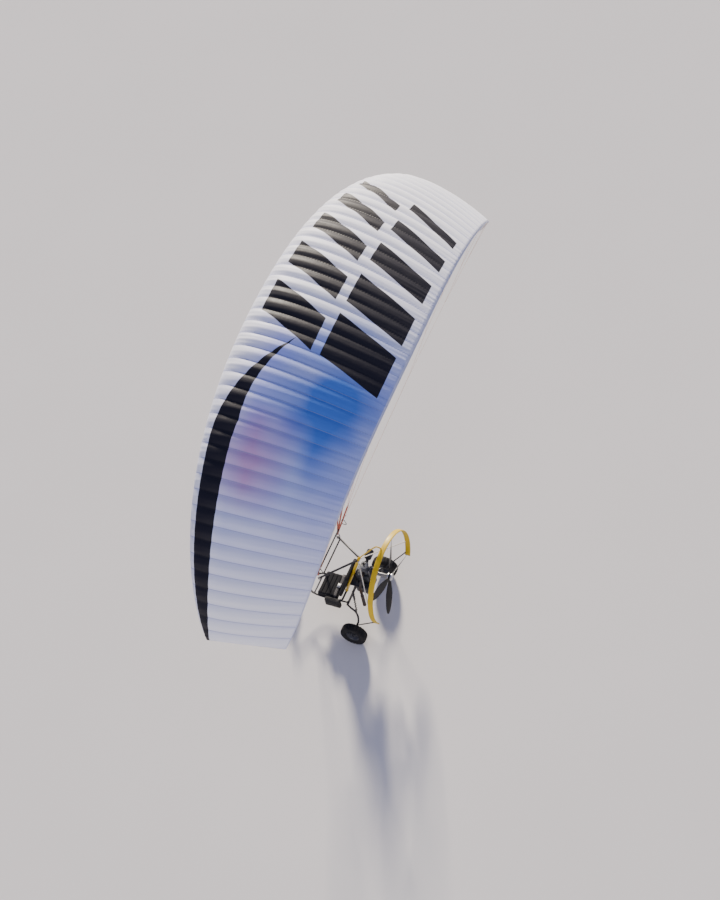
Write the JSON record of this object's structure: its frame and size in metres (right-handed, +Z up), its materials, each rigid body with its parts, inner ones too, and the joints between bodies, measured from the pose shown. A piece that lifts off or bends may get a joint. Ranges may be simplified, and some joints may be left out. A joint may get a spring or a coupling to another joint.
{
  "type": "paratrike",
  "caption": "Single-seat paratrike: three-wheeled motor trike with a ringed four-blade pusher propeller, hung under an inflated ram-air canopy.",
  "frame": {"origin": "on the ground, below the centre of the bounding box", "axes": "+Z up, -Y the direction of flight, +X to the port side; the XZ and YZ planes cross at the box's centre, and X = 0 is the plane of symmetry of frame and canopy"},
  "size_m": [8.1292, 3.2987, 7.7428],
  "materials": {
    "frame_black": "satin",
    "mast_yellow": "gloss",
    "ring_yellow": "gloss",
    "stay_pale": "satin",
    "alloy": "satin",
    "engine_dark": "satin",
    "exhaust_dark": "matte",
    "carbon": "gloss",
    "tyre": "matte",
    "rim_black": "satin",
    "seat_fabric": "matte",
    "tank_plastic": "satin",
    "riser_webbing": "matte",
    "line_cord": "matte",
    "canopy_top": "satin",
    "canopy_bottom": "satin"
  },
  "bodies": {
    "airframe": {"keel_frame": "frame_black", "mast": "mast_yellow", "spreader_bar": "frame_black", "engine_cradle": "frame_black", "engine_crankcase": "engine_dark", "engine_cylinder": "engine_dark", "reduction_drive": "alloy", "exhaust": "exhaust_dark", "air_box": "tank_plastic", "fuel_tank": "tank_plastic", "seat_base": "seat_fabric", "seat_back": "seat_fabric", "propeller_ring": "ring_yellow", "ring_stay_top": "mast_yellow", "canopy_leading_edge": "canopy_top", "canopy_top_skin": "canopy_top", "canopy_bottom_skin": "canopy_bottom", "hang_arm_port": "frame_black", "side_strut_port": "frame_black", "ring_stay_side_port": "stay_pale", "ring_stay_low_port": "frame_black", "rear_leg_port": "frame_black", "shock_port": "alloy", "karabiner_port": "alloy", "riser_port": "riser_webbing", "line_a_inner_port": "line_cord", "line_a_outer_port": "line_cord", "line_c_middle_port": "line_cord", "brake_line_port": "line_cord", "hang_arm_starboard": "frame_black", "side_strut_starboard": "frame_black", "ring_stay_side_starboard": "stay_pale", "ring_stay_low_starboard": "frame_black", "rear_leg_starboard": "frame_black", "shock_starboard": "alloy", "karabiner_starboard": "alloy", "riser_starboard": "riser_webbing", "line_a_inner_starboard": "line_cord", "line_a_outer_starboard": "line_cord", "line_c_middle_starboard": "line_cord", "brake_line_starboard": "line_cord"},
    "wheel_rear_port": {"rear_tyre_port": "tyre", "rear_rim_port": "rim_black"},
    "wheel_rear_starboard": {"rear_tyre_starboard": "tyre", "rear_rim_starboard": "rim_black"},
    "wheel_nose": {"nose_tyre": "tyre", "nose_rim": "rim_black"},
    "steering_fork": {"front_fork": "frame_black", "nose_axle": "alloy"},
    "propeller_rotor": {"propeller": "carbon", "propeller_hub": "alloy"}
  },
  "joints": [
    {"name": "rear_wheel_port_spin", "type": "hinge", "parent": "airframe", "child": "wheel_rear_port", "pos_m": [0.663, -0.0215, 0.215], "axis": [1, 0, 0], "continuous": true},
    {"name": "rear_wheel_starboard_spin", "type": "hinge", "parent": "airframe", "child": "wheel_rear_starboard", "pos_m": [-0.663, -0.0215, 0.215], "axis": [1, 0, 0], "continuous": true},
    {"name": "steering", "type": "hinge", "parent": "airframe", "child": "steering_fork", "pos_m": [0, -1.4695, 0.18], "axis": [0, 0.2588, 0.9659], "range_deg": [-30, 30]},
    {"name": "nose_wheel_spin", "type": "hinge", "parent": "steering_fork", "child": "wheel_nose", "pos_m": [0, -1.4695, 0.18], "axis": [1, 0, 0], "continuous": true},
    {"name": "propeller_spin", "type": "hinge", "parent": "airframe", "child": "propeller_rotor", "pos_m": [0, 0.4655, 1.12], "axis": [0, 1, 0], "continuous": true}
  ]
}
